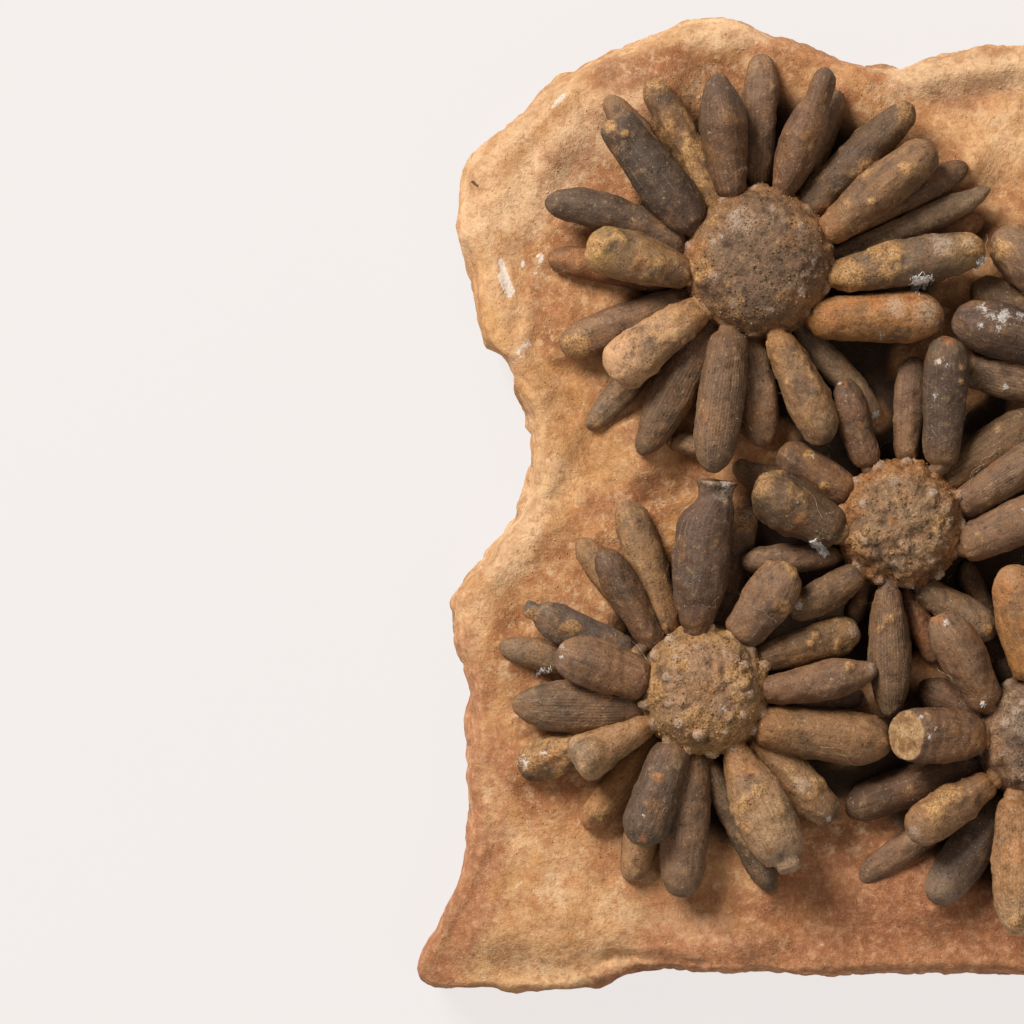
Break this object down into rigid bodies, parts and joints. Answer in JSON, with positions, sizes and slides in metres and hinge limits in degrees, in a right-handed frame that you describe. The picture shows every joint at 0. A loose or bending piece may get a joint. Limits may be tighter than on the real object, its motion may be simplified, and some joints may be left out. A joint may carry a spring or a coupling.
{
  "type": "sea urchin fossil slab",
  "caption": "Loose slab of tan limestone with fossil sea urchins in relief, each body ringed by thick club-shaped spines, lying on its flat back.",
  "frame": {"origin": "middle of the slab's flat back, which is the face it rests on", "axes": "+Z out of the fossil face, +Y up the slab towards the end with the largest urchin, +X across the slab towards its right-hand urchins"},
  "size_m": [0.222, 0.2196, 0.0458],
  "materials": {
    "limestone": "matte",
    "fossil_calcite": "matte"
  },
  "bodies": {
    "root": {"matrix_slab": "limestone", "urchin_upper_left": "fossil_calcite", "urchin_centre": "fossil_calcite", "urchin_lower_left": "fossil_calcite", "urchin_lower_right": "fossil_calcite", "urchin_upper_right": "fossil_calcite", "urchin_right": "fossil_calcite"}
  },
  "joints": []
}
